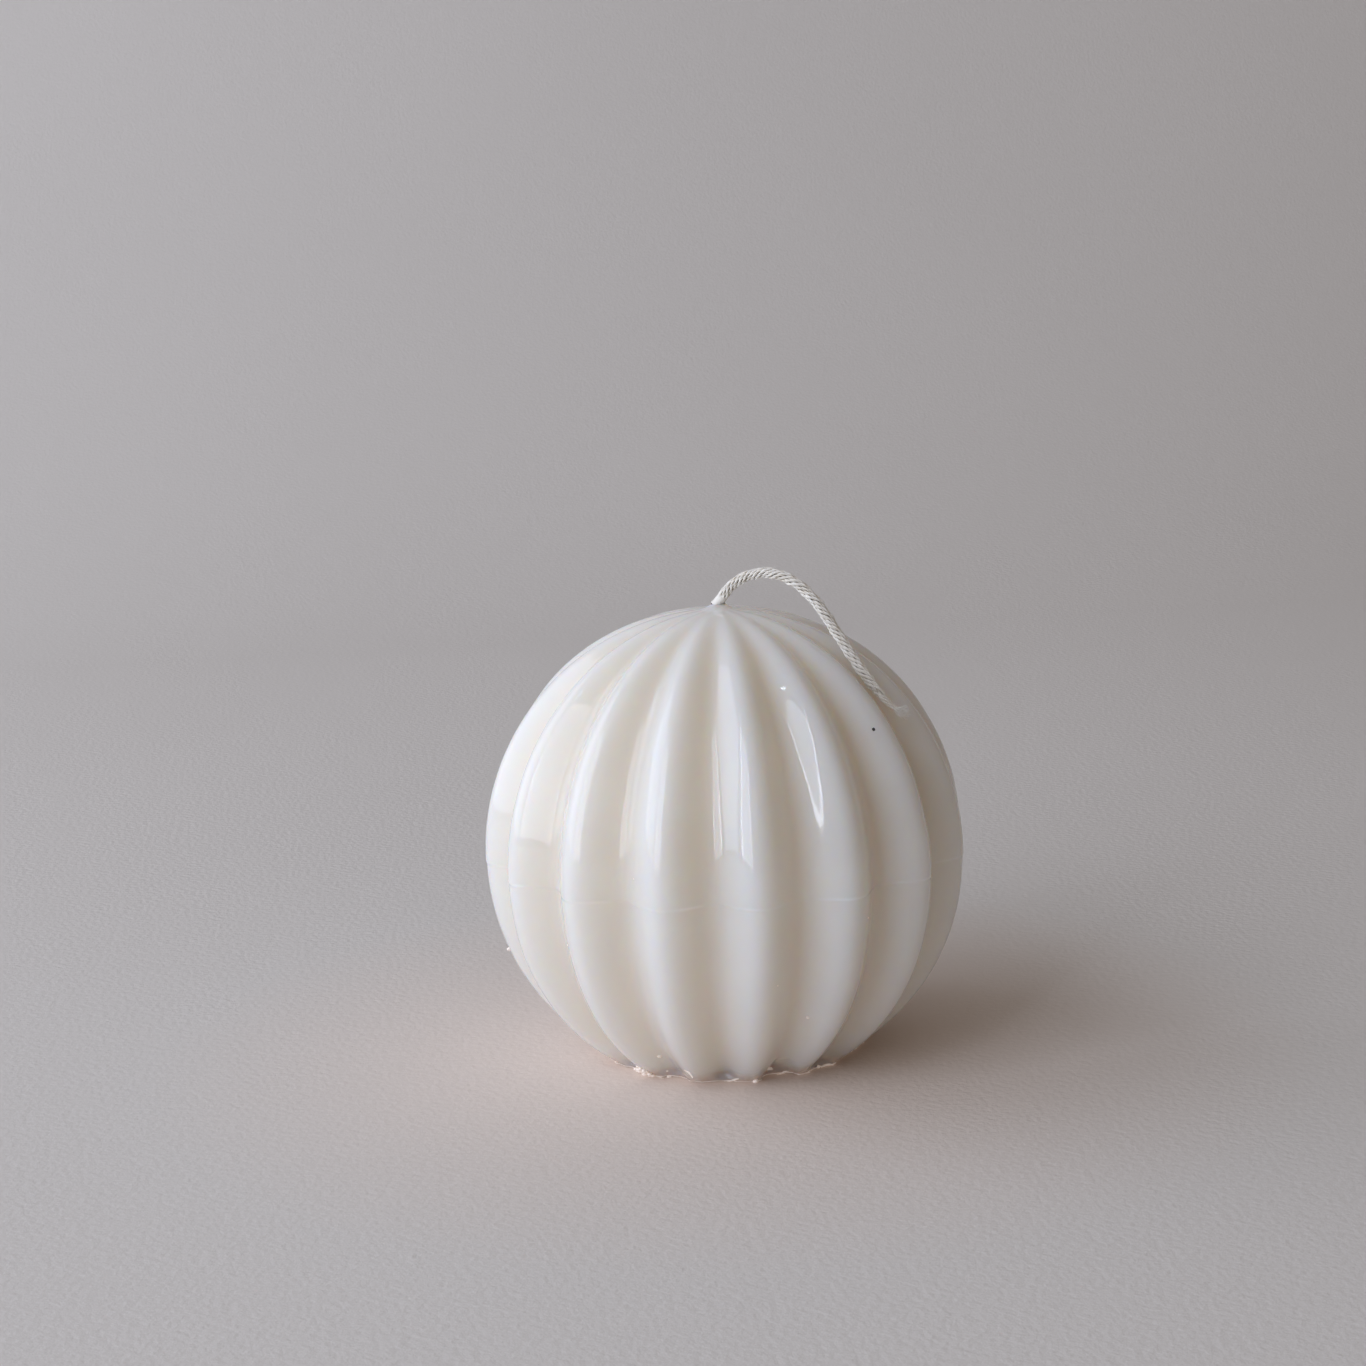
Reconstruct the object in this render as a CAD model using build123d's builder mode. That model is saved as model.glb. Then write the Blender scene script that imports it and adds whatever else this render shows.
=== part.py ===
"""Ribbed ball candle: a cast wax ball with meridian ribs, and a three-ply cotton wick.

Millimetres, +Z up. The origin is the centre of the flat foot that the candle stands on.
Azimuth is measured about Z from -Y towards +X, and a rib crest lies at azimuth 0.
"""
import os
from math import cos, pi, radians, sin, sqrt, tan

from build123d import *

# Driving dimensions
BALL_RADIUS = 35.0  # over the rib crests, at the parting line
RIB_COUNT = 16
RIB_DEPTH_EQUATOR = 0.097  # groove depth as a share of the local crest radius
RIB_DEPTH_GAIN = 0.035  # further share that the grooves gain towards the poles
SEAM_HEIGHT = 29.5  # parting line of the two mould halves, above the foot
UPPER_HEIGHT = 35.3  # parting line to the pole
UPPER_FULLNESS = 2.06  # superellipse exponent of the upper half: 2 is a plain ellipse
MOULD_STEP = 0.15  # the lower mould half is this much smaller in radius
WICK_DIAMETER = 1.7
WICK_CLEARANCE = 0.005  # plies inside their channel, on the radius
NUB_HEIGHT = 0.7  # wax drawn up round the wick, above the pole
NUB_RIM_WALL = 0.25  # wall of the nub at its top
NUB_FOOT_RADIUS = 3.0
NUB_FOOT_DEPTH = 1.0  # how far the nub is rooted below the pole
PLY_COUNT = 3
PLY_LAY = 12.0  # height of one full turn of the twist
PLY_GAP = 0.02  # between neighbouring plies

# Derived sizes
POLE_HEIGHT = SEAM_HEIGHT + UPPER_HEIGHT
EXIT_HEIGHT = POLE_HEIGHT + NUB_HEIGHT
WICK_RADIUS = WICK_DIAMETER / 2
NUB_RIM_RADIUS = WICK_RADIUS + NUB_RIM_WALL
NUB_FOOT = POLE_HEIGHT - NUB_FOOT_DEPTH
LOWER_RADIUS = BALL_RADIUS - MOULD_STEP
RIB_PITCH = 360.0 / RIB_COUNT
PLY_PACKING = 2 / sqrt(3)  # centre distance of three touching plies from the wick's axis, in ply radii
PLY_RADIUS = (WICK_RADIUS - WICK_CLEARANCE) / (1 + PLY_PACKING) - PLY_GAP / 2
PLY_OFFSET = WICK_RADIUS - WICK_CLEARANCE - PLY_RADIUS

# Section levels of the two lofts
SECTOR_STEPS = 5  # spline spans from a crest to each edge of its sector
SECTOR_HALF_ANGLE = 0.6 * RIB_PITCH  # the lofts are cut back to half a pitch
UPPER_ANGLES = (90, 80, 70, 60, 50, 40, 30, 21, 13, 6)  # degrees from the pole
LOWER_STEPS = 5

# The free wick falls over into the groove midway between two crests.
WICK_AZIMUTH = 2.5 * RIB_PITCH
ARC_SHARE = 0.45  # share of the shorter run that an arc takes up
# Route of the free wick: distance from the axis, sideways drift, height above the parting line
WICK_ROUTE = (
    (0.0, 0.0, EXIT_HEIGHT - SEAM_HEIGHT),
    (1.2, 0.1, 37.9),
    (3.9, 0.2, 40.0),
    (7.9, 0.1, 40.95),
    (12.1, -0.1, 39.85),
    (15.6, -0.2, 36.9),
    (18.3, 0.25, 32.6),
    (21.5, 0.05, 28.1),
    (24.9, -0.15, 24.1),
    (27.7, 0.1, 21.4),
)


def lower_crest_radius(height):
    """Crest radius of the lower half, a part of a sphere. Heights are from the parting line."""
    return sqrt(LOWER_RADIUS**2 - height**2)


def upper_crest(angle):
    """Height and crest radius of the upper half, a superellipse, at an angle from the pole."""
    share = 2 / UPPER_FULLNESS
    rise = UPPER_HEIGHT * max(cos(radians(angle)), 0.0) ** share if angle < 90 else 0.0
    return rise, BALL_RADIUS * sin(radians(angle)) ** share


def rib_sector(height, radius):
    """One rib's sector of a horizontal section, reaching a little past the groove on each side."""
    depth = RIB_DEPTH_EQUATOR + RIB_DEPTH_GAIN * (height / BALL_RADIUS) ** 2
    points = []
    for index in range(-SECTOR_STEPS, SECTOR_STEPS + 1):
        turn = radians(SECTOR_HALF_ANGLE) * index / SECTOR_STEPS
        local = radius * (1 - depth * (1 - cos(RIB_COUNT * turn)) / 2)
        points.append((local * sin(turn), -local * cos(turn)))
    with BuildSketch(Plane.XY.offset(SEAM_HEIGHT + height)) as sector:
        with BuildLine():
            Line((0, 0), points[0])
            Spline(*points)
            Line(points[-1], (0, 0))
        make_face()
    return sector.sketch


def wick_point(out, drift, height):
    """A point of the free wick's route in the model's frame."""
    turn = radians(WICK_AZIMUTH)
    return Vector(
        out * sin(turn) + drift * cos(turn),
        -out * cos(turn) + drift * sin(turn),
        SEAM_HEIGHT + height,
    )


def arc_radii(points):
    """Largest tangent arc at each inner point of a route."""
    radii = []
    for before, here, after in zip(points, points[1:], points[2:]):
        run_in = here - before
        run_out = after - here
        half_turn = radians(run_in.get_angle(run_out)) / 2
        radii.append(ARC_SHARE * min(run_in.length, run_out.length) / tan(half_turn))
    return radii


os.makedirs("parts", exist_ok=True)

route = [wick_point(*point) for point in WICK_ROUTE]
radii = arc_radii(route)
exit_plane = Plane(origin=route[0], z_dir=route[1] - route[0])

# One rib from the foot to the pole: two lofts that meet at the parting line, cut back to its sector
with BuildPart() as rib:
    lower_levels = [-SEAM_HEIGHT * step / LOWER_STEPS for step in reversed(range(LOWER_STEPS + 1))]
    loft(sections=[rib_sector(level, lower_crest_radius(level)) for level in lower_levels])
    loft(sections=[rib_sector(*upper_crest(angle)) for angle in UPPER_ANGLES])
    half_pitch = radians(RIB_PITCH / 2)
    for side in (1, -1):
        edge_plane = Plane(origin=(0, 0, 0), z_dir=(side * cos(half_pitch), sin(half_pitch), 0))
        split(bisect_by=edge_plane, keep=Keep.BOTTOM)

# Wax ball: its ribs, the nub at the pole, and the wick's channel.
# The nub's rim is notched where the wick leans out of it.
with BuildPart() as wax_body:
    with PolarLocations(0, RIB_COUNT):
        add(rib.part)
    with BuildSketch(Plane.XZ):
        with BuildLine():
            Polyline((NUB_RIM_RADIUS, EXIT_HEIGHT), (0, EXIT_HEIGHT), (0, NUB_FOOT), (NUB_FOOT_RADIUS, NUB_FOOT))
            Spline(
                (NUB_FOOT_RADIUS, NUB_FOOT),
                (NUB_RIM_RADIUS, EXIT_HEIGHT),
                tangents=((-1, 0.9), (-0.1, 1)),
            )
        make_face()
    revolve(axis=Axis.Z)
    with Locations((0, 0, EXIT_HEIGHT / 2)):
        Cylinder(WICK_RADIUS, EXIT_HEIGHT + 1, mode=Mode.SUBTRACT)
    with Locations(exit_plane):
        Cylinder(
            WICK_RADIUS + WICK_CLEARANCE,
            WICK_RADIUS,
            align=(Align.CENTER, Align.CENTER, Align.MIN),
            mode=Mode.SUBTRACT,
        )
wax_body.part.label = "wax_body"
export_step(wax_body.part, "parts/wax_body.step")

# The wick inside the wax: three cotton plies twisted round each other
for index in range(PLY_COUNT):
    letter = "abc"[index]
    start_depth = WICK_RADIUS + PLY_LAY * index / PLY_COUNT
    with BuildPart() as wick_core:
        with BuildLine():
            lay_path = Helix(
                pitch=PLY_LAY,
                height=EXIT_HEIGHT + start_depth + WICK_DIAMETER,
                radius=PLY_OFFSET,
                center=(0, 0, -start_depth),
            )
        with BuildSketch(Plane(origin=lay_path @ 0, z_dir=lay_path % 0)):
            Circle(PLY_RADIUS)
        sweep(path=lay_path, is_frenet=True)
        split(bisect_by=exit_plane, keep=Keep.BOTTOM)
        split(bisect_by=Plane.XY, keep=Keep.TOP)
    wick_core.part.label = f"wick_core_{letter}"
    export_step(wick_core.part, f"parts/wick_core_{letter}.step")

# The free wick: straight runs joined by tangent arcs
with BuildPart() as wick_tail:
    with BuildLine():
        tail_path = FilletPolyline(*route, radius=radii)
    with BuildSketch(exit_plane):
        Circle(WICK_RADIUS)
    sweep(path=tail_path)
wick_tail.part.label = "wick_tail"
export_step(wick_tail.part, "parts/wick_tail.step")

print("wick arc radii:", [round(radius, 1) for radius in radii])
print("wick tail length:", round(tail_path.length, 2))
print("tube volume over section times length:",
      round(wick_tail.part.volume / (pi * WICK_RADIUS**2 * tail_path.length), 4))
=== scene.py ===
"""Ribbed ball candle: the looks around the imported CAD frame. The scene is in metres, +Z up."""
import math
import random

import bmesh
import bpy
from mathutils import Matrix, Vector, kdtree, noise


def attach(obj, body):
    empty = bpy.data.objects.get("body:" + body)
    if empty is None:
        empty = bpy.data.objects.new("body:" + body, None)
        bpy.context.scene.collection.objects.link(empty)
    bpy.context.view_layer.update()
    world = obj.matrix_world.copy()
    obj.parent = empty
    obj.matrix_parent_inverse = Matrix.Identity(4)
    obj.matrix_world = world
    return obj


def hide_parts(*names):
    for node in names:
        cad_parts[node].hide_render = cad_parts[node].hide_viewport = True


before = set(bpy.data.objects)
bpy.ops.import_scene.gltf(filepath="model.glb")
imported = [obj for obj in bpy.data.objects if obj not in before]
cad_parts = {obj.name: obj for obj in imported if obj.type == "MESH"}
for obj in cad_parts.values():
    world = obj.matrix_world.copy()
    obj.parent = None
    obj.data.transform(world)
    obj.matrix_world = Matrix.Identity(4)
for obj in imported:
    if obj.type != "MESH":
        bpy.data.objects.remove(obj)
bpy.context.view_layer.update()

MM = 0.001
NOISE_SEED = 17
noise.seed_set(NOISE_SEED)

# ---------------------------------------------------------------- the candle's own sizes, in mm
BALL_RADIUS = 35.0
RIB_COUNT = 16
RIB_PITCH = 2 * math.pi / RIB_COUNT
RIB_DEPTH_EQUATOR = 0.097
RIB_DEPTH_GAIN = 0.035
SEAM_HEIGHT = 29.5
UPPER_HEIGHT = 35.3
UPPER_FULLNESS = 2.06
LOWER_RADIUS = 34.85
POLE_HEIGHT = SEAM_HEIGHT + UPPER_HEIGHT
WICK_DIAMETER = 1.7
WICK_RADIUS = WICK_DIAMETER / 2
NUB_HEIGHT = 0.7
EXIT_HEIGHT = POLE_HEIGHT + NUB_HEIGHT

# Route of the free wick, as in the CAD: distance out, sideways drift, height above the parting line
WICK_AZIMUTH = 2.5 * RIB_PITCH
WICK_ROUTE = (
    (0.0, 0.0, EXIT_HEIGHT - SEAM_HEIGHT),
    (1.2, 0.1, 37.9),
    (3.9, 0.2, 40.0),
    (7.9, 0.1, 40.95),
    (12.1, -0.1, 39.85),
    (15.6, -0.2, 36.9),
    (18.3, 0.25, 32.6),
    (21.5, 0.05, 28.1),
    (24.9, -0.15, 24.1),
    (27.7, 0.1, 21.4),
)


# ---------------------------------------------------------------- small helpers
def new_object(name, verts, faces, material):
    """A smooth shaded mesh object from points in mm and faces."""
    mesh = bpy.data.meshes.new(name)
    mesh.from_pydata([Vector(v) * MM for v in verts], [], faces)
    mesh.validate()
    mesh.polygons.foreach_set("use_smooth", [True] * len(mesh.polygons))
    obj = bpy.data.objects.new(name, mesh)
    bpy.context.collection.objects.link(obj)
    mesh.materials.append(material)
    return obj


def add_layer(obj, name, values):
    """Stores one number per point of a mesh, for its material to read."""
    layer = obj.data.attributes.new(name, "FLOAT", "POINT")
    layer.data.foreach_set("value", values)


def around(azimuth, radius, height):
    """A point in mm at an azimuth measured from -Y towards +X."""
    return Vector((radius * math.sin(azimuth), -radius * math.cos(azimuth), height))


def smoothstep(low, high, value):
    """0 below low, 1 above high, and an even S between them."""
    share = min(max((value - low) / (high - low), 0.0), 1.0)
    return share * share * (3 - 2 * share)


def bump(value, centre, width):
    """A Gaussian bump of height 1."""
    return math.exp(-(((value - centre) / width) ** 2))


# ---------------------------------------------------------------- camera
CAMERA_PLACE = (-48.1, -356.1, 121.8)  # mm
CAMERA_PITCH = 10.68  # degrees below the horizon
CAMERA_HEADING = 6.83  # degrees from +Y towards +X
CAMERA_ROLL = -1.9  # degrees
CAMERA_LENS = 66.7  # mm, on a sensor 36 mm wide
CAMERA_SENSOR = 36.0


def make_camera():
    """The camera, in front of the candle and a little above it."""
    data = bpy.data.cameras.new("camera")
    data.lens = CAMERA_LENS
    data.sensor_width = CAMERA_SENSOR
    data.clip_start = 0.01
    data.clip_end = 20.0
    camera = bpy.data.objects.new("camera", data)
    bpy.context.collection.objects.link(camera)
    heading = Matrix.Rotation(math.radians(-CAMERA_HEADING), 3, "Z")
    pitch = Matrix.Rotation(math.radians(90 - CAMERA_PITCH), 3, "X")
    roll = Matrix.Rotation(math.radians(CAMERA_ROLL), 3, "Z")
    turned = (heading @ pitch @ roll).to_4x4()
    camera.matrix_world = Matrix.Translation(Vector(CAMERA_PLACE) * MM) @ turned
    bpy.context.scene.camera = camera


make_camera()


# ---------------------------------------------------------------- the wick's centreline
LINE_STEPS = 48  # points for each point of the route
TANGENT_REACH = 0.25  # mm each way along the line for its direction


def wick_point(out, drift, height):
    """A point of the free wick's route in mm."""
    turn = WICK_AZIMUTH
    return Vector((
        out * math.sin(turn) + drift * math.cos(turn),
        -out * math.cos(turn) + drift * math.sin(turn),
        SEAM_HEIGHT + height,
    ))


def nurbs_line(points):
    """Points in mm along the smooth NURBS line of a route given in mm."""
    curve = bpy.data.curves.new("route", "CURVE")
    curve.dimensions = "3D"
    spline = curve.splines.new("NURBS")
    spline.points.add(len(points) - 1)
    for slot, point in zip(spline.points, points):
        slot.co = (*(Vector(point) * MM), 1.0)
    spline.order_u = 3
    spline.use_endpoint_u = True
    spline.resolution_u = LINE_STEPS
    carrier = bpy.data.objects.new("route", curve)
    bpy.context.collection.objects.link(carrier)
    line = bpy.data.meshes.new_from_object(carrier)
    found = [v.co / MM for v in line.vertices]
    bpy.data.objects.remove(carrier)
    bpy.data.meshes.remove(line)
    return found


class Path:
    """A polyline read by its arc length, with a frame that follows it."""

    def __init__(self, points, side):
        self.points = points
        self.at = [0.0]
        for a, b in zip(points, points[1:]):
            self.at.append(self.at[-1] + (b - a).length)
        self.length = self.at[-1]
        self.side = side

    def locate(self, s):
        """The two points beside arc length s, and how far s lies between them."""
        s = min(max(s, 0.0), self.length)
        low, high = 0, len(self.at) - 1
        while high - low > 1:
            mid = (low + high) // 2
            if self.at[mid] <= s:
                low = mid
            else:
                high = mid
        share = (s - self.at[low]) / max(self.at[high] - self.at[low], 1e-9)
        return low, high, share

    def point(self, s):
        """The place at arc length s."""
        low, high, share = self.locate(s)
        return self.points[low].lerp(self.points[high], share)

    def frame(self, s):
        """Tangent, sideways and upward directions at arc length s."""
        tangent = (self.point(s + TANGENT_REACH) - self.point(s - TANGENT_REACH)).normalized()
        side = (self.side - tangent * self.side.dot(tangent)).normalized()
        return tangent, side, tangent.cross(side)


wick_side = Vector((math.cos(WICK_AZIMUTH), math.sin(WICK_AZIMUTH), 0.0))
wick_path = Path(nurbs_line([wick_point(*p) for p in WICK_ROUTE]), wick_side)


# ---------------------------------------------------------------- materials
WAX_BASE = (0.86, 0.845, 0.81)
WAX_GROOVE_GLOW = (0.85, 0.81, 0.735)  # painted warm light in the grooves, standing in for light that has come through the wax and bounced between the ribs
WAX_FOOT_BOUNCE = (0.86, 0.68, 0.56)  # painted warm shade and bounce light at the foot, from the card below
WAX_SEAM_HIGHLIGHT = (0.97, 0.97, 0.96)  # painted highlight on the parting line, where its raised edge catches the window light
WAX_CLOUD = (0.965, 0.962, 0.955)  # the darkest tint of the faint clouding
WAX_ROUGHNESS = (0.03, 0.07)
WAX_IOR = 1.52
WAX_SOFTNESS = 0.85  # share of the light that scatters inside the wax
WAX_REACH = (1.0, 0.74, 0.50)  # of red, green and blue light inside the wax, as shares of the depth
WAX_DEPTH = 15.0  # mm
RIPPLE_DEPTH = 0.06  # mm
WAX_GRAIN_DEPTH = 0.004  # mm
SCRAP_COLOUR = (0.97, 0.90, 0.84)
SCRAP_ROUGHNESS = (0.4, 0.6)
SCRAP_GLOW_COLOUR = (1.0, 0.84, 0.74)
SCRAP_GLOW = 0.12  # stands in for light that the ball behind passes on to thin wax
COAT_ROUGHNESS = (0.3, 0.5)
COTTON_COLOUR = (0.93, 0.90, 0.84)
COTTON_SHADE = (0.78, 0.72, 0.62)
COTTON_PAINTED_SHADE = (0.36, 0.30, 0.23)  # painted shade between the strands
FIBRE_DEPTH = 0.05  # mm
DUST_DARK = (0.012, 0.012, 0.015)
DUST_PALE = (0.05, 0.045, 0.045)


def new_material(name):
    """A material with one principled shader."""
    material = bpy.data.materials.new(name)
    material.use_nodes = True
    tree = material.node_tree
    tree.nodes.clear()
    output = tree.nodes.new("ShaderNodeOutputMaterial")
    shader = tree.nodes.new("ShaderNodeBsdfPrincipled")
    tree.links.new(shader.outputs[0], output.inputs[0])
    return material, tree, shader


def add_noise(tree, scale, detail, roughness=0.5):
    """A noise texture in object space, with its scale per metre."""
    place = tree.nodes.new("ShaderNodeTexCoord")
    texture = tree.nodes.new("ShaderNodeTexNoise")
    texture.inputs["Scale"].default_value = scale
    texture.inputs["Detail"].default_value = detail
    texture.inputs["Roughness"].default_value = roughness
    tree.links.new(place.outputs["Object"], texture.inputs["Vector"])
    return texture.outputs["Fac"]


def add_attribute(tree, name):
    """A number stored on the mesh's points, or 0 where a mesh has none of that name."""
    node = tree.nodes.new("ShaderNodeAttribute")
    node.attribute_name = name
    return node.outputs["Fac"]


def add_mix(tree, share, first, second, blend="MIX"):
    """Mixes two colours by a share. Each of the three is an output or a plain value."""
    node = tree.nodes.new("ShaderNodeMix")
    node.data_type = "RGBA"
    node.blend_type = blend
    share_slot, first_slot, second_slot = node.inputs[0], node.inputs[6], node.inputs[7]
    for slot, value in ((share_slot, share), (first_slot, first), (second_slot, second)):
        if isinstance(value, bpy.types.NodeSocket):
            tree.links.new(value, slot)
        elif isinstance(value, tuple):
            slot.default_value = (*value, 1)
        else:
            slot.default_value = value
    return node.outputs[2]


def add_ramp(tree, source, low, high, from_min=0.3, from_max=0.7):
    """Maps a value to a span of numbers or of colours."""
    if isinstance(low, (int, float)):
        node = tree.nodes.new("ShaderNodeMapRange")
        node.inputs["From Min"].default_value = from_min
        node.inputs["From Max"].default_value = from_max
        node.inputs["To Min"].default_value = low
        node.inputs["To Max"].default_value = high
        tree.links.new(source, node.inputs["Value"])
        return node.outputs["Result"]
    node = tree.nodes.new("ShaderNodeValToRGB")
    node.color_ramp.elements[0].position = from_min
    node.color_ramp.elements[0].color = (*low, 1)
    node.color_ramp.elements[1].position = from_max
    node.color_ramp.elements[1].color = (*high, 1)
    tree.links.new(source, node.inputs["Fac"])
    return node.outputs["Color"]


def add_bump(tree, shader, layers):
    """Stacks bump layers, each a height output and a depth in mm."""
    normal = None
    for height, depth in layers:
        node = tree.nodes.new("ShaderNodeBump")
        node.inputs["Strength"].default_value = 1.0
        node.inputs["Distance"].default_value = depth * MM
        tree.links.new(height, node.inputs["Height"])
        if normal:
            tree.links.new(normal, node.inputs["Normal"])
        normal = node.outputs["Normal"]
    tree.links.new(normal, shader.inputs["Normal"])


def wax_material(name, base=WAX_BASE, groove=WAX_GROOVE_GLOW, roughness=WAX_ROUGHNESS, softness=WAX_SOFTNESS):
    """Cast wax: glossy, faintly clouded and rippled, with painted warm light in the grooves, painted warm
    shade and bounce light at the foot, and a painted highlight on the parting line.
    """
    material, tree, shader = new_material(name)
    # painted warm light in the grooves
    colour = add_mix(tree, add_attribute(tree, "groove"), base, groove)
    # painted warm shade and bounce light at the foot
    colour = add_mix(tree, add_attribute(tree, "foot"), colour, WAX_FOOT_BOUNCE)
    # painted highlight on the parting line
    colour = add_mix(tree, add_attribute(tree, "seam_highlight"), colour, WAX_SEAM_HIGHLIGHT)
    clouding = add_ramp(tree, add_noise(tree, 90, detail=4), WAX_CLOUD, (1, 1, 1))
    colour = add_mix(tree, 1.0, colour, clouding, "MULTIPLY")
    tree.links.new(colour, shader.inputs["Base Color"])
    gloss = add_ramp(tree, add_noise(tree, 240, detail=5), *roughness)
    tree.links.new(gloss, shader.inputs["Roughness"])
    shader.inputs["IOR"].default_value = WAX_IOR
    shader.inputs["Subsurface Weight"].default_value = softness
    shader.inputs["Subsurface Radius"].default_value = WAX_REACH
    shader.inputs["Subsurface Scale"].default_value = WAX_DEPTH * MM
    ripple = add_noise(tree, 55, detail=2)
    grain = add_noise(tree, 900, detail=4)
    add_bump(tree, shader, [(ripple, RIPPLE_DEPTH), (grain, WAX_GRAIN_DEPTH)])
    return material


def scrap_material(name):
    """Thin scraps of wax: dull, with a faint painted glow that stands in for light the ball behind passes on
    to them.
    """
    material = wax_material(name, SCRAP_COLOUR, SCRAP_COLOUR, SCRAP_ROUGHNESS, softness=0.0)
    shader = material.node_tree.nodes["Principled BSDF"]
    shader.inputs["Emission Color"].default_value = (*SCRAP_GLOW_COLOUR, 1)
    shader.inputs["Emission Strength"].default_value = SCRAP_GLOW
    return material


def cotton_material(name):
    """Cotton yarn: matt, with sheen and fibre streaks, and painted shade between the strands."""
    material, tree, shader = new_material(name)
    blotches = add_ramp(tree, add_noise(tree, 900, detail=4), COTTON_SHADE, COTTON_COLOUR, 0.22, 0.55)
    # painted shade between the strands
    colour = add_mix(tree, add_attribute(tree, "deep"), blotches, COTTON_PAINTED_SHADE)
    tree.links.new(colour, shader.inputs["Base Color"])
    shader.inputs["Roughness"].default_value = 0.85
    shader.inputs["Sheen Weight"].default_value = 0.35
    shader.inputs["Sheen Roughness"].default_value = 0.4
    shader.inputs["Subsurface Weight"].default_value = 0.1
    shader.inputs["Subsurface Radius"].default_value = (1.0, 0.8, 0.6)
    shader.inputs["Subsurface Scale"].default_value = 0.3 * MM
    fibres = add_noise(tree, 5200, detail=5, roughness=0.65)
    add_bump(tree, shader, [(fibres, FIBRE_DEPTH)])
    return material


def dust_material(name):
    """Dark dust caught in the wax."""
    material, tree, shader = new_material(name)
    grain = add_noise(tree, 4000, detail=3)
    tree.links.new(add_ramp(tree, grain, DUST_DARK, DUST_PALE), shader.inputs["Base Color"])
    shader.inputs["Roughness"].default_value = 0.5
    add_bump(tree, shader, [(grain, 0.03)])
    return material


cotton = cotton_material("cotton")
wax = wax_material("wax")
scrap_wax = scrap_material("scrap_wax")
waxed_cotton = wax_material("waxed_cotton", COTTON_COLOUR, COTTON_COLOUR, COAT_ROUGHNESS, softness=0.0)
dust = dust_material("dust")


# ---------------------------------------------------------------- the free wick: strands laid round a core
STRANDS = 6
STRAND_OFFSET = 0.55  # of a strand's middle from the wick's centreline, mm
STRAND_LAY = 5.4  # mm for one turn of the strands round the wick
LONG_STRANDS = 3  # that run to the wick's very end
CUT_SHORT = (0.5, 4.5)  # mm by which the other strands stop before it
YARNS = 3  # in a strand
YARN_OFFSET = 0.125  # of a yarn's middle from its strand's middle, mm
YARN_RADIUS = 0.13
YARN_TWIST = 3.0  # mm for one turn of the yarns in a strand
YARN_WANDER = 0.06
YARN_STEP = 0.11
CORE_RADIUS = 0.36
CORE_STEP = 0.4
CORE_SHORT = 2.0  # mm by which the core stops before the wick's end
SHADE_STEP = 0.2
ROOT_DEPTH = 0.6  # mm that the yarns reach down into the wax
ROOT_SHARE = 0.86  # of the wick's thickness where the wax grips it
ROOT_SPAN = 2.5  # mm over which it reaches its full thickness
TIP_TAPER = 7.0  # mm over which the wick thins out
TIP_SLIMMING = 0.50  # share of the thickness lost at the cut end
SPRING_SPAN = 1.7  # mm over which the cut yarns spring apart
SPRING = 0.13
BRUSH_FIBRES = 140  # at the cut end
FUZZ_FIBRES = 330  # along the wick
FIBRE_STEPS = 7
WICK_SEED = 11
FUZZ_SEED = 23


def slimming(s):
    """The wick's thickness along its length: gripped by wax at the root, thinned out at the cut end."""
    tip = smoothstep(wick_path.length - TIP_TAPER, wick_path.length - 0.5, s)
    root = ROOT_SHARE + (1 - ROOT_SHARE) * smoothstep(0.0, ROOT_SPAN, s)
    return root * (1.0 - TIP_SLIMMING * tip)


def yarn_offset(s, strand, yarn, wander):
    """Offset of a yarn from the wick's centreline, in the path's side and up directions."""
    uneven = 1 + 0.07 * math.sin(2.1 * strand) + 0.06 * math.sin(0.9 * s + strand)
    lay = -2 * math.pi * (s / STRAND_LAY - strand / STRANDS) + 0.25 * math.sin(0.45 * s)
    twist = 2 * math.pi * (s / YARN_TWIST + yarn / YARNS) + strand
    side = STRAND_OFFSET * uneven * math.cos(lay) + YARN_OFFSET * math.cos(twist) + wander.x
    up = STRAND_OFFSET * uneven * math.sin(lay) + YARN_OFFSET * math.sin(twist) + wander.y
    return side * slimming(s), up * slimming(s)


def add_tube(verts, faces, line, radii, sides=7):
    """Adds a closed tube along a line of points."""
    first = len(verts)
    up = Vector((0.31, 0.22, 0.92))
    for index, point in enumerate(line):
        ahead = line[min(index + 1, len(line) - 1)]
        behind = line[max(index - 1, 0)]
        tangent = (ahead - behind).normalized()
        across = tangent.cross(up)
        if across.length < 0.05:
            across = tangent.cross(Vector((1, 0, 0)))
        across.normalize()
        up = across.cross(tangent).normalized()
        for side in range(sides):
            turn = 2 * math.pi * side / sides
            verts.append(point + (across * math.cos(turn) + up * math.sin(turn)) * radii[index])
    rings = len(line)
    for ring in range(rings - 1):
        for side in range(sides):
            a = first + ring * sides + side
            b = first + ring * sides + (side + 1) % sides
            faces.append((a, b, b + sides, a + sides))
    faces.append(tuple(first + side for side in reversed(range(sides))))
    faces.append(tuple(first + (rings - 1) * sides + side for side in range(sides)))


def add_fibre(verts, faces, rng, start, direction, length, radius, curl):
    """Adds one thin curling fibre."""
    line = [start]
    heading = direction.normalized()
    for _ in range(FIBRE_STEPS):
        jitter = Vector([rng.uniform(-0.22, 0.22) for _ in range(3)])
        heading = (heading + curl * (1 / FIBRE_STEPS) + jitter).normalized()
        line.append(line[-1] + heading * (length / FIBRE_STEPS))
    radii = [radius * (1 - 0.7 * index / FIBRE_STEPS) for index in range(FIBRE_STEPS + 1)]
    add_tube(verts, faces, line, radii, sides=4)


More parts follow.
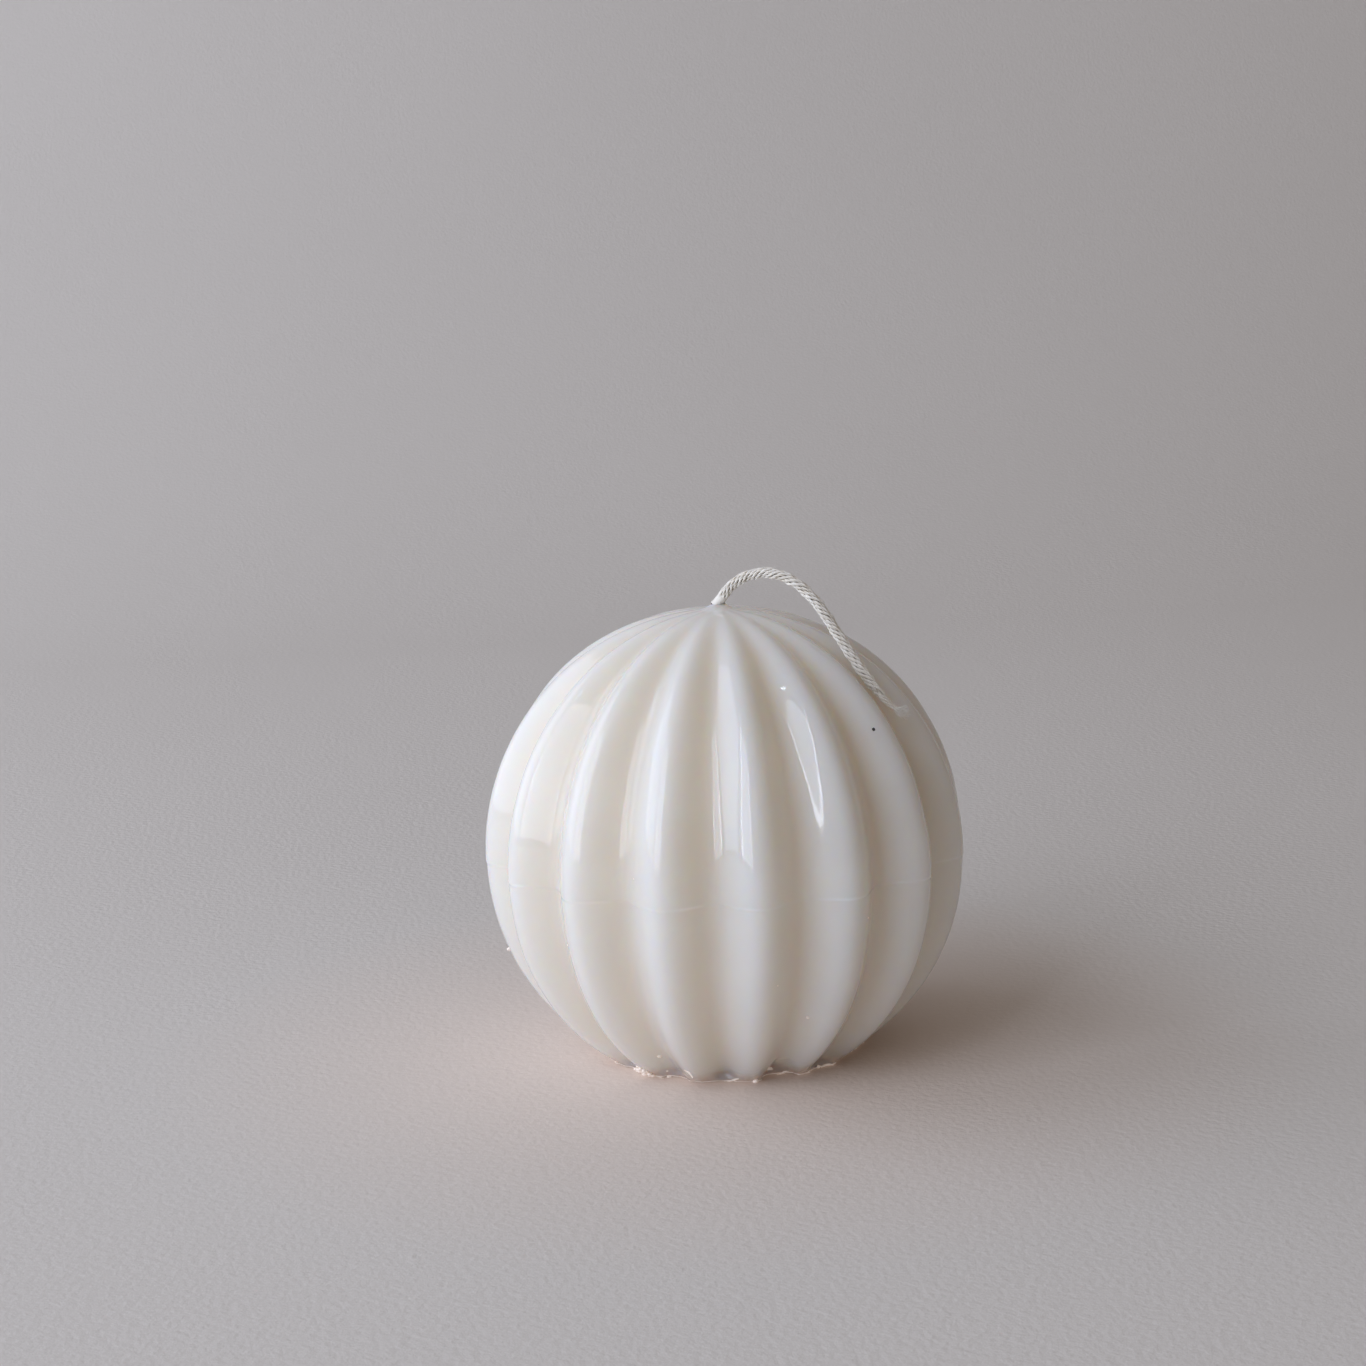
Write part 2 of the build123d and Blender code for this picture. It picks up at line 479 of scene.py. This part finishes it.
def add_yarn(verts, faces, strand, yarn, end, splay):
    """Adds one yarn from its root to its end, where it springs loose."""
    seed = Vector((strand * 7.3, yarn * 3.1, 0.0))
    line, radii = [], []
    for step in range(int((end + ROOT_DEPTH) / YARN_STEP) + 1):
        s = step * YARN_STEP - ROOT_DEPTH
        wander = noise.noise_vector(seed + Vector((s * 0.55, 0, 0))).to_2d() * YARN_WANDER
        side, up = yarn_offset(s, strand, yarn, wander)
        loose = max(0.0, s - (end - SPRING_SPAN)) ** 1.5 * SPRING
        centre = wick_path.point(s)
        tangent, across, over = wick_path.frame(max(s, 0.0))
        if s < 0:
            centre = centre + tangent * s
        line.append(centre + across * (side + splay.x * loose) + over * (up + splay.y * loose))
        thin = 1.0 - 0.35 * smoothstep(end - 2.2, end, s)
        pulse = 1 + 0.12 * noise.noise(seed + Vector((s * 2.2, 5, 0)))
        radii.append(YARN_RADIUS * thin * pulse * (0.45 + 0.55 * slimming(s)))
    add_tube(verts, faces, line, radii)


def hollow_shade(points):
    """How deep each point lies inside the wick, from 0 on its outside to 1 near its core, as the mask for
    painted shade between the strands; it fades out towards the cut end.
    """
    steps = int(wick_path.length / SHADE_STEP)
    places = [wick_path.point(step * SHADE_STEP) for step in range(steps + 1)]
    tree = kdtree.KDTree(len(places))
    for index, place in enumerate(places):
        tree.insert(place, index)
    tree.balance()
    shades = []
    for point in points:
        _, index, away = tree.find(point)
        s = index * SHADE_STEP
        tip = smoothstep(wick_path.length - TIP_TAPER - 3.0, wick_path.length - 4.0, s)
        inside = 1 - smoothstep(0.42, 0.80, away / (WICK_RADIUS * slimming(s)))
        shades.append(inside * (1 - tip))
    return shades


def make_wick():
    """The laid strands round their core, which fray into a brush of fibres at the cut end."""
    rng = random.Random(WICK_SEED)
    verts, faces = [], []
    for strand in range(STRANDS):
        cut = rng.uniform(*CUT_SHORT) if strand >= LONG_STRANDS else 0.0
        for yarn in range(YARNS):
            end = wick_path.length - cut - rng.uniform(0.0, 0.25)
            splay = Vector((rng.uniform(-1, 1), rng.uniform(-0.2, 1)))
            add_yarn(verts, faces, strand, yarn, end, splay)
    core, radii = [], []
    for step in range(int((wick_path.length - CORE_SHORT) / CORE_STEP)):
        s = step * CORE_STEP
        tip = smoothstep(wick_path.length - TIP_TAPER - 1.0, wick_path.length - CORE_SHORT, s)
        core.append(wick_path.point(s))
        radii.append(CORE_RADIUS * (1 - 0.75 * tip))
    add_tube(verts, faces, core, radii, sides=12)
    for _ in range(BRUSH_FIBRES):
        s = wick_path.length - rng.uniform(-0.2, 1.1)
        tangent, across, over = wick_path.frame(s)
        start = wick_path.point(s) + across * rng.uniform(-0.3, 0.3) + over * rng.uniform(-0.2, 0.35)
        heading = tangent * 0.8 + across * rng.uniform(-0.7, 0.9) + over * rng.uniform(-0.1, 1.0)
        length = rng.uniform(0.7, 1.8)
        radius = rng.uniform(0.035, 0.065)
        add_fibre(verts, faces, rng, start, heading, length, radius, (across + over) * 0.5)
    cord = new_object("wick", verts, faces, cotton)
    # mask for the painted shade between the strands
    add_layer(cord, "deep", hollow_shade(verts))
    return cord


def make_fuzz():
    """Loose fibres that stand off the wick."""
    rng = random.Random(FUZZ_SEED)
    verts, faces = [], []
    for _ in range(FUZZ_FIBRES):
        s = rng.uniform(1.8, wick_path.length - 0.4)
        tangent, across, over = wick_path.frame(s)
        turn = rng.uniform(0, 2 * math.pi)
        out = across * math.cos(turn) + over * math.sin(turn)
        start = wick_path.point(s) + out * (WICK_RADIUS * rng.uniform(0.55, 0.8))
        lean = rng.choice((-1, 1)) * rng.uniform(0.6, 2.4)
        length = rng.uniform(0.35, 1.15)
        radius = rng.uniform(0.009, 0.016)
        add_fibre(verts, faces, rng, start, out + tangent * lean, length, radius, -out * 1.1)
    return new_object("wick_fuzz", verts, faces, cotton)


wick = make_wick()
wick_fuzz = make_fuzz()
for piece in (wick, wick_fuzz):
    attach(piece, "root")
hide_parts("wick_tail")


# ---------------------------------------------------------------- the wax ball
COLUMNS_PER_RIB = 32
COLUMNS = RIB_COUNT * COLUMNS_PER_RIB
SEAM_RIDGE = 0.075  # mm that the parting line stands proud on the crests
SEAM_WIDTH = 0.2  # mm
SEAM_BLEND = 0.3  # mm over which the mould step is rounded
NUB_FOOT = 3.0  # mm of radius inside which the nub rises
FOOT_BAND = 4.6  # mm above the foot that the trimming has touched
LIP_HEIGHT = 0.22  # mm above the foot where the pressed-out lip is widest
LIP_UNDERCUT = 0.55
SMEAR_HEIGHT = 1.5  # mm above the foot where the smeared wax in the grooves ends
SMEAR_SHARE = 0.72  # of the grooves' depth that it fills
SOFT_TOP = (3.0, 17.0)  # mm of radius over which the grooves soften towards the pole
SOFT_SHARE = 0.6  # of their depth that is left there
FOOT_RINGS = (0.985, 0.96, 0.9, 0.8, 0.68, 0.55, 0.42, 0.3, 0.18, 0.09)  # shares of the foot's radius
NUB_STEPS = 14
NUB_RIM = WICK_RADIUS + 0.2
SHARP_ANGLE = 48.0  # degrees, above which an edge isn't shaded smooth

# Chips broken off the foot's edge: azimuth in degrees, half width in degrees, height and depth in mm
CHIPS = (
    (13.0, 8.5, 3.6, 1.5),
    (-33.0, 6.5, 1.5, 0.7),
    (47.0, 5.0, 1.1, 0.6),
    (98.0, 7.0, 1.8, 0.9),
    (151.0, 6.0, 1.2, 0.7),
    (-158.0, 9.0, 2.2, 1.0),
    (-104.0, 5.0, 1.3, 0.8),
)


def rib_depth(height):
    """Depth of the grooves as a share of the crest radius. Trimming smeared wax into them at the foot."""
    depth = RIB_DEPTH_EQUATOR + RIB_DEPTH_GAIN * ((height - SEAM_HEIGHT) / BALL_RADIUS) ** 2
    smeared = 1 - smoothstep(0.15, SMEAR_HEIGHT, height)
    return depth * (1 - SMEAR_SHARE * smeared)


def groove_share(azimuth):
    """0 on a crest, 1 on a groove's floor."""
    return (1 - math.cos(RIB_COUNT * azimuth)) / 2


def crest(height):
    """Radius over the crests at a height in mm above the foot."""
    above = height - SEAM_HEIGHT
    lower = math.sqrt(LOWER_RADIUS**2 - min(above, 0.0) ** 2)
    share = min(max(above, 0.0) / UPPER_HEIGHT, 1.0) ** UPPER_FULLNESS
    upper = BALL_RADIUS * (1 - share) ** (1 / UPPER_FULLNESS)
    blend = smoothstep(-SEAM_BLEND, SEAM_BLEND, above)
    return lower + (upper - lower) * blend


def ring_noise(azimuth, scale, seed):
    """Smooth noise round the axis, from -1 to 1."""
    return noise.noise(Vector((math.sin(azimuth) * scale, math.cos(azimuth) * scale, seed)))


def trimmed(azimuth, height, local):
    """The radius near the foot, where the wax was cut and rubbed flat by hand."""
    if height >= FOOT_BAND:
        return local
    degrees = math.degrees(azimuth)
    for centre, half, tall, deep in CHIPS:
        away = abs((degrees - centre + 180) % 360 - 180) / half
        if away < 1:
            top = tall * (1 - away**2) * (1 + 0.25 * ring_noise(azimuth, 30, centre))
            if height < top:
                local -= deep * (1 - height / top) ** 0.8
    lip = 0.16 + 0.50 * max(ring_noise(azimuth, 7, 1.0), 0.0)
    lip += 0.22 * max(ring_noise(azimuth, 24, 5.0), 0.0)
    if height <= LIP_HEIGHT:
        local += lip - LIP_UNDERCUT * (1 - height / LIP_HEIGHT) ** 2
    else:
        local += lip * max(0.0, 1 - (height - LIP_HEIGHT) / 0.75) ** 2
    rough = noise.noise(around(azimuth, local, height) * 1.7)
    return local + 0.10 * rough * (1 - height / FOOT_BAND)


def seam_burr(azimuth, height):
    """How strongly the parting line shows at a place, from 0 to 1: patchy, and faint in the grooves."""
    patchy = 0.30 + 0.70 * smoothstep(-0.1, 0.35, ring_noise(azimuth, 9, 3.0))
    return patchy * bump(height, SEAM_HEIGHT, SEAM_WIDTH) * (1 - 0.85 * groove_share(azimuth))


def body_radius(azimuth, height, radius):
    """Local radius of the ribbed surface with the small unevenness of a casting."""
    share = groove_share(azimuth)
    soft = 1.0
    if height > SEAM_HEIGHT:
        soft = SOFT_SHARE + (1 - SOFT_SHARE) * smoothstep(*SOFT_TOP, radius)
    local = radius * (1 - rib_depth(height) * share * soft)
    ridge = SEAM_RIDGE * seam_burr(azimuth, height)
    place = around(azimuth, local, height)
    sway = noise.noise(place * 0.07) * 0.10 + noise.noise(place * 0.21 + Vector((9, 4, 2))) * 0.035
    return trimmed(azimuth, height, local + ridge + sway * smoothstep(0, 9, radius))


def body_levels():
    """(height, crest radius) from the foot to the nub."""
    levels = [0.0, 0.05, 0.11, 0.17, LIP_HEIGHT, 0.3, 0.4, 0.52, 0.66, 0.82, 1.0]
    while levels[-1] < FOOT_BAND:
        levels.append(levels[-1] + 0.2)
    below = 52
    start = levels[-1]
    levels += [start + (SEAM_HEIGHT - start) * step / below for step in range(1, below)]
    fine = [SEAM_HEIGHT + offset for offset in (-0.6, -0.4, -0.25, -0.12, 0.0, 0.12, 0.25, 0.4, 0.6)]
    levels = [z for z in levels if z < fine[0] - 0.2] + fine
    result = [(z, crest(z)) for z in levels]
    for step in range(2, 98):
        angle = math.radians(90 - 88.2 * step / 97)
        share = 2 / UPPER_FULLNESS
        z = SEAM_HEIGHT + UPPER_HEIGHT * math.cos(angle) ** share
        if z > fine[-1] + 0.2:
            result.append((z, BALL_RADIUS * math.sin(angle) ** share))
    return result


def make_body():
    """The ribbed ball as rings of points from the foot up to the nub, and the cut foot closed below."""
    levels = [pair for pair in body_levels() if pair[1] > NUB_FOOT or pair[0] < SEAM_HEIGHT]
    turns = [2 * math.pi * column / COLUMNS for column in range(COLUMNS)]
    verts, faces, grooves, seam_highlights = [], [], [], []
    for z, radius in levels:
        fade = smoothstep(2.0, 20.0, radius) if z > SEAM_HEIGHT else 1.0
        for azimuth in turns:
            verts.append(around(azimuth, body_radius(azimuth, z, radius), z))
            grooves.append(groove_share(azimuth) * fade)
            seam_highlights.append(seam_burr(azimuth, z))
    top_z, top_radius = levels[-1]
    for step in range(1, NUB_STEPS + 1):
        share = step / NUB_STEPS
        radius = top_radius + (NUB_RIM - top_radius) * share
        z = top_z + (EXIT_HEIGHT - 0.05 - top_z) * (0.30 * share + 0.70 * share**3.2)
        for azimuth in turns:
            local = radius * (1 - 0.6 * rib_depth(z) * groove_share(azimuth) * (1 - share) ** 2)
            verts.append(around(azimuth, local, z))
            grooves.append(0.0)
    for row in range(len(levels) + NUB_STEPS - 1):
        for column in range(COLUMNS):
            a = row * COLUMNS + column
            b = row * COLUMNS + (column + 1) % COLUMNS
            faces.append((a, b, b + COLUMNS, a + COLUMNS))
    outer = 0
    foot = [verts[column].to_2d().length for column in range(COLUMNS)]
    hole = WICK_RADIUS / foot[0]
    for share in (*FOOT_RINGS, hole):
        first = len(verts)
        for column, azimuth in enumerate(turns):
            local = foot[column] * share if share > hole else WICK_RADIUS
            place = around(azimuth, local, 0.0)
            dent = max(noise.noise(place * 0.35), 0.0) * 0.16 + max(noise.noise(place * 1.4), 0.0) * 0.07
            place.z = dent * smoothstep(1.0, 0.93, share)
            verts.append(place)
            grooves.append(0.3)
        for column in range(COLUMNS):
            a, b = outer + column, outer + (column + 1) % COLUMNS
            faces.append((b, a, first + column, first + (column + 1) % COLUMNS))
        outer = first
    body = new_object("wax_ball", verts, faces, wax)
    # Mask for the painted warm light in the grooves: full on the groove floors, a little on the underside,
    # none on the nub, fading out towards the pole
    add_layer(body, "groove", [groove**1.2 for groove in grooves])
    # Mask for the painted warm shade and bounce light at the foot, full at the bottom and gone 2.4 mm up
    add_layer(body, "foot", [1 - smoothstep(0.2, 2.4, vert[2]) for vert in verts])
    # Mask for the painted highlight on the parting line
    add_layer(body, "seam_highlight", seam_highlights + [0.0] * (len(verts) - len(seam_highlights)))
    body.data.set_sharp_from_angle(angle=math.radians(SHARP_ANGLE))
    return body


# Shavings stuck to the foot's edge: azimuth in degrees, height, length and width in mm, and curl
FLAKES = (
    (-50.0, 0.5, 2.0, 0.7, 0.25),
    (-42.0, 0.25, 2.3, 0.5, 0.12),
    (-23.5, 2.6, 1.7, 0.45, 0.10),
    (-8.0, 0.3, 2.6, 0.35, 0.06),
    (9.5, 1.1, 2.4, 0.5, 0.18),
    (17.0, 0.35, 2.2, 0.45, 0.10),
    (38.0, 0.3, 2.0, 0.4, 0.10),
    (72.0, 0.6, 1.8, 0.5, 0.20),
    (120.0, 0.3, 2.4, 0.5, 0.15),
    (170.0, 0.4, 2.0, 0.6, 0.22),
    (-140.0, 0.3, 2.2, 0.5, 0.10),
    (-88.0, 0.4, 1.9, 0.5, 0.20),
)
FLAKE_CELLS = 8
FLAKE_THICKNESS = 0.09
# Crumbs pressed on to the wax: azimuth in degrees, height and radius in mm
CRUMBS = (
    (-51.0, 0.5, 0.42), (-49.5, 1.1, 0.36), (-48.0, 0.4, 0.46), (-46.5, 0.9, 0.30), (-45.5, 0.35, 0.34),
    (-53.5, 0.3, 0.28), (-44.0, 0.7, 0.22), (-89.5, 16.3, 0.30), (2.0, 0.25, 0.42), (34.0, 0.3, 0.26),
    (109.0, 0.4, 0.34), (112.0, 0.8, 0.26), (-170.0, 0.4, 0.36), (-121.0, 0.3, 0.30), (64.0, 0.3, 0.24),
)
# The heap of crumbs at the foot
HEAP_AZIMUTH = -48.5
HEAP_SPREAD = 4.2  # degrees
HEAP_MIDDLE = 0.75
HEAP_TALL = 0.7
HEAP_CRUMBS = 26
# The thin edge of wax pressed out all round the foot
BURR_COLUMNS = 900
BURR_ROWS = 5
BURR_ROOT = 0.25  # mm that it reaches into the wax
BURR_BOTTOM = LIP_HEIGHT - 0.10
BURR_THICKNESS = 0.07
# Small air bubbles that bulge the skin: azimuth in degrees, height and radius in mm
BUBBLES = (
    (-36.0, 4.2, 0.36), (15.1, 11.4, 0.30), (-30.5, 33.0, 0.16), (27.0, 26.0, 0.14), (4.0, 18.0, 0.13),
    (-52.0, 22.0, 0.15), (75.0, 15.0, 0.18), (118.0, 28.0, 0.16), (160.0, 40.0, 0.2), (-130.0, 19.0, 0.2),
)
SPECK = (40.8, 50.2, 0.24)  # azimuth in degrees, height and radius in mm
COAT_START = -0.25  # mm along the wick
COAT_LENGTH = 1.5  # mm of wax drawn up along the wick
COAT_STEPS = 22
SCRAPS_SEED = 5
BUBBLES_SEED = 8
SPECK_SEED = 3


def on_surface(degrees, height, proud):
    """A point standing proud of the ball's surface by some mm, and the surface's outward direction there."""
    azimuth = math.radians(degrees)

    def at(turn, z):
        return around(turn, body_radius(turn, z, crest(z)), z)

    place = at(azimuth, height)
    sideways = at(azimuth + 0.01, height) - at(azimuth - 0.01, height)
    upward = at(azimuth, height + 0.2) - at(azimuth, max(height - 0.2, 0.0))
    out = sideways.cross(upward).normalized()
    return place + out * proud, out


def add_lump(verts, faces, rng, centre, radius, squash=1.0):
    """Adds a small uneven lump."""
    ball = bmesh.new()
    bmesh.ops.create_icosphere(ball, subdivisions=2, radius=1.0)
    seed = Vector([rng.uniform(0, 50) for _ in range(3)])
    first = len(verts)
    for vert in ball.verts:
        swell = 1 + 0.45 * noise.noise(vert.co * 1.3 + seed)
        point = centre + Vector((vert.co.x, vert.co.y, vert.co.z * squash)) * radius * swell
        point.z = max(point.z, 0.01)
        verts.append(point)
    for face in ball.faces:
        faces.append(tuple(first + vert.index for vert in face.verts))
    ball.free()


def add_flake(verts, faces, rng, centre, along, out, length, width, curl):
    """Adds a thin curled shaving, closed, a little ragged at its edges."""
    along, out = along.normalized(), out.normalized()
    up = out.cross(along).normalized()
    first = len(verts)
    for layer in (0, 1):
        for step in range(FLAKE_CELLS + 1):
            share = step / FLAKE_CELLS
            for side in (-1, 0, 1):
                taper = math.sin(math.pi * (0.12 + 0.80 * share)) ** 0.6
                across = side * width / 2 * taper * (1 + rng.uniform(-0.18, 0.18) * abs(side))
                bend = curl * (2 * share - 1) ** 2 * length
                rise = bend + FLAKE_THICKNESS * layer
                point = centre + along * (share - 0.5) * length + up * across + out * rise
                point.z = max(point.z, 0.01 + 0.05 * layer)
                verts.append(point)
    row, sheet = 3, 3 * (FLAKE_CELLS + 1)
    for step in range(FLAKE_CELLS):
        for side in range(2):
            a = first + step * row + side
            faces.append((a, a + 1, a + 1 + row, a + row))
            faces.append((a + sheet, a + row + sheet, a + 1 + row + sheet, a + 1 + sheet))
        for side, flip in ((0, False), (2, True)):
            a = first + step * row + side
            quad = (a, a + row, a + row + sheet, a + sheet)
            faces.append(quad[::-1] if flip else quad)
    for step, flip in ((0, True), (FLAKE_CELLS, False)):
        for side in range(2):
            a = first + step * row + side
            quad = (a, a + 1, a + 1 + sheet, a + sheet)
            faces.append(quad if flip else quad[::-1])


def add_burr(verts, faces):
    """Adds the thin ragged edge of wax that the cut pressed out all round the foot."""
    first = len(verts)
    for column in range(BURR_COLUMNS):
        azimuth = 2 * math.pi * column / BURR_COLUMNS
        torn = max(ring_noise(azimuth, 5, 7.0), 0.0) * 0.7 + max(ring_noise(azimuth, 19, 2.0), 0.0) * 0.75
        torn += abs(ring_noise(azimuth, 60, 4.0)) * 0.22
        reach = 0.12 + torn
        curl = 0.14 + 0.5 * torn * (0.5 + 0.5 * ring_noise(azimuth, 13, 9.0))
        base = body_radius(azimuth, LIP_HEIGHT, crest(LIP_HEIGHT))
        bent = BURR_BOTTOM + curl * 0.25
        section = (
            (base - BURR_ROOT, BURR_BOTTOM),
            (base + reach * 0.5, bent),
            (base + reach, LIP_HEIGHT - 0.08 + curl),
            (base + reach * 0.5 - 0.03, bent + BURR_THICKNESS),
            (base - BURR_ROOT, BURR_BOTTOM + BURR_THICKNESS * 1.5),
        )
        for radius, height in section:
            verts.append(around(azimuth, radius, height))
    for column in range(BURR_COLUMNS):
        here = first + BURR_ROWS * column
        there = first + BURR_ROWS * ((column + 1) % BURR_COLUMNS)
        for row in range(BURR_ROWS):
            following = (row + 1) % BURR_ROWS
            faces.append((here + row, there + row, there + following, here + following))


def make_foot_scraps():
    """Shavings and crumbs that the trimming left at the foot."""
    rng = random.Random(SCRAPS_SEED)
    verts, faces = [], []
    for degrees, height, length, width, curl in FLAKES:
        place, out = on_surface(degrees, height, 0.05)
        along = Vector((0, 0, 1)).cross(out) + Vector((0, 0, rng.uniform(-0.5, 0.5)))
        add_flake(verts, faces, rng, place, along, out + Vector((0, 0, 0.3)), length, width, curl)
    for degrees, height, radius in CRUMBS:
        place, _ = on_surface(degrees, height, radius * 0.35)
        add_lump(verts, faces, rng, place, radius)
    for _ in range(HEAP_CRUMBS):
        radius = rng.uniform(0.14, 0.38)
        height = max(HEAP_MIDDLE + rng.gauss(0, HEAP_TALL), radius * 0.6)
        degrees = HEAP_AZIMUTH + rng.gauss(0, HEAP_SPREAD)
        place, _ = on_surface(degrees, height, radius * rng.uniform(0.3, 1.1))
        add_lump(verts, faces, rng, place, radius, squash=rng.uniform(0.6, 1.0))
    add_burr(verts, faces)
    # The shavings, crumbs and burr glow faintly: painted light from the scrap wax material
    return new_object("foot_scraps", verts, faces, scrap_wax)


def make_bubbles():
    """Tiny bubbles that stand just proud of the skin."""
    rng = random.Random(BUBBLES_SEED)
    verts, faces = [], []
    for degrees, height, radius in BUBBLES:
        place, _ = on_surface(degrees, height, -radius * 0.45)
        add_lump(verts, faces, rng, place, radius)
    # The bubbles glow faintly: painted light from the scrap wax material
    return new_object("bubbles", verts, faces, scrap_wax)


def make_speck():
    """The one dark speck of dust in the skin, at the top right."""
    rng = random.Random(SPECK_SEED)
    verts, faces = [], []
    degrees, height, radius = SPECK
    place, _ = on_surface(degrees, height, -0.04)
    add_lump(verts, faces, rng, place, radius)
    return new_object("speck", verts, faces, dust)


def make_wick_coat():
    """Wax that climbed the first millimetres of the wick when it was dipped."""
    line, radii = [], []
    for step in range(COAT_STEPS + 1):
        s = COAT_START + (COAT_LENGTH - COAT_START) * step / COAT_STEPS
        centre = wick_path.point(s)
        if s < 0:
            centre = centre + wick_path.frame(0.0)[0] * s
        line.append(centre)
        share = step / COAT_STEPS
        flare = 0.16 * (1 - share) ** 3
        thinning = 0.12 * share + 0.10 * smoothstep(0.8, 1.0, share)
        radii.append(WICK_RADIUS * 0.97 + flare - thinning)
    verts, faces = [], []
    add_tube(verts, faces, line, radii, sides=40)
    for index, vert in enumerate(verts):
        verts[index] = vert + noise.noise_vector(vert * 1.6) * 0.07
    return new_object("wick_coat", verts, faces, waxed_cotton)


wax_ball = make_body()
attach(wax_ball, "root")
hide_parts("wax_body")
foot_scraps = make_foot_scraps()
bubbles = make_bubbles()
speck = make_speck()
wick_coat = make_wick_coat()
for piece in (foot_scraps, bubbles, speck, wick_coat):
    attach(piece, "root")

for letter in "abc":
    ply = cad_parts[f"wick_core_{letter}"]
    ply.data.materials.clear()
    ply.data.materials.append(cotton)


# ---------------------------------------------------------------- stage and light
CARD_SHADE = (0.695, 0.668, 0.640)
CARD_PALE = (0.725, 0.698, 0.670)
CARD_GLOW = (0.77, 0.665, 0.60)  # painted warm light round the candle, where its wax passes light on to the card
CARD_GLOW_SPAN = (0.018, 0.085)  # metres from the foot's centre over which it fades
CARD_TOOTH = 0.12  # mm
SWEEP_STEPS = 16
WINDOW_LEFT, WINDOW_RIGHT = -66.0, -36.0  # azimuths of the curtained window's edges, in degrees
WINDOW_BOTTOM, WINDOW_TOP = 0.04, 1.35
WINDOW_RADIANCE = 2.4
WINDOW_COLOUR = (0.86, 0.93, 1.08)
GAP_SPAN = 2.0  # degrees, of each bright gap beside the curtain
GAP_RADIANCE = 9.0
GAP_TOP = 1.7
BAY_LEFT, BAY_RIGHT = -150.0, -76.0
BAY_RADIANCE = 1.75
WALL_LEFT, WALL_RIGHT = -40.0, 16.0  # azimuths of the pale wall in front of the candle
WALL_BOTTOM, WALL_TOP = 0.45, 1.6
WALL_RADIANCE = 0.08
WALL_COLOUR = (0.97, 0.98, 1.0)
LIGHT_DISTANCE = 0.95
ROOM_COLOUR = (1.0, 0.82, 0.66)
ROOM_STRENGTH = 0.18


def card_material():
    """Warm grey card with a fine tooth, and a painted pool of warm light round the candle."""
    material, tree, shader = new_material("card")
    card = add_ramp(tree, add_noise(tree, 3.0, detail=2), CARD_SHADE, CARD_PALE)
    place = tree.nodes.new("ShaderNodeTexCoord")
    reach = tree.nodes.new("ShaderNodeVectorMath")
    reach.operation = "LENGTH"
    tree.links.new(place.outputs["Object"], reach.inputs[0])
    # painted warm light round the candle
    glow = add_ramp(tree, reach.outputs["Value"], 1.0, 0.0, *CARD_GLOW_SPAN)
    tree.links.new(add_mix(tree, glow, card, CARD_GLOW), shader.inputs["Base Color"])
    shader.inputs["Roughness"].default_value = 0.9
    add_bump(tree, shader, [(add_noise(tree, 900, detail=4), CARD_TOOTH)])
    return material


def make_sweep():
    """A sheet of card that lies flat and curves up behind the candle."""
    width, front, back, rise, bend = 2600.0, -1100.0, 620.0, 1500.0, 260.0
    profile = [(front, 0.0), (back - bend, 0.0)]
    for step in range(1, SWEEP_STEPS + 1):
        turn = math.pi / 2 * step / SWEEP_STEPS
        profile.append((back - bend + bend * math.sin(turn), bend - bend * math.cos(turn)))
    profile.append((back, rise))
    verts, faces = [], []
    for y, z in profile:
        verts += [(-width / 2, y, z), (width / 2, y, z)]
    for index in range(len(profile) - 1):
        a = 2 * index
        faces.append((a, a + 1, a + 3, a + 2))
    return new_object("sweep", verts, faces, card_material())


def upright_light(name, left, right, low, high, radiance, colour):
    """A glowing upright panel between two azimuths in degrees, with the radiance of its face."""
    middle = math.radians((left + right) / 2)
    width = 2 * LIGHT_DISTANCE * math.tan(math.radians(right - left) / 2)
    data = bpy.data.lights.new(name, "AREA")
    data.shape = "RECTANGLE"
    data.size, data.size_y = width, high - low
    data.energy = radiance * math.pi * data.size * data.size_y
    data.color = colour
    light = bpy.data.objects.new(name, data)
    bpy.context.collection.objects.link(light)
    light.location = around(middle, LIGHT_DISTANCE, (low + high) / 2)
    light.rotation_euler = (-around(middle, 1.0, 0.0)).to_track_quat("-Z", "Y").to_euler()


def make_light():
    """A curtained window at the left with a bright gap at each edge, a bay beyond it, and a dim warm room."""
    world = bpy.data.worlds.new("room")
    bpy.context.scene.world = world
    world.use_nodes = True
    room = world.node_tree.nodes["Background"]
    room.inputs["Color"].default_value = (*ROOM_COLOUR, 1)
    room.inputs["Strength"].default_value = ROOM_STRENGTH
    low, high, tint = WINDOW_BOTTOM, WINDOW_TOP, WINDOW_COLOUR
    upright_light("window", WINDOW_LEFT, WINDOW_RIGHT, low, high, WINDOW_RADIANCE, tint)
    upright_light("gap_right", WINDOW_RIGHT, WINDOW_RIGHT + GAP_SPAN, low, GAP_TOP, GAP_RADIANCE, tint)
    upright_light("gap_left", WINDOW_LEFT - GAP_SPAN, WINDOW_LEFT, low, GAP_TOP, GAP_RADIANCE, tint)
    upright_light("wall", WALL_LEFT, WALL_RIGHT, WALL_BOTTOM, WALL_TOP, WALL_RADIANCE, WALL_COLOUR)
    upright_light("bay", BAY_LEFT, BAY_RIGHT, low, high, BAY_RADIANCE, tint)


sweep = make_sweep()
make_light()
bpy.context.scene.view_settings.view_transform = "Standard"
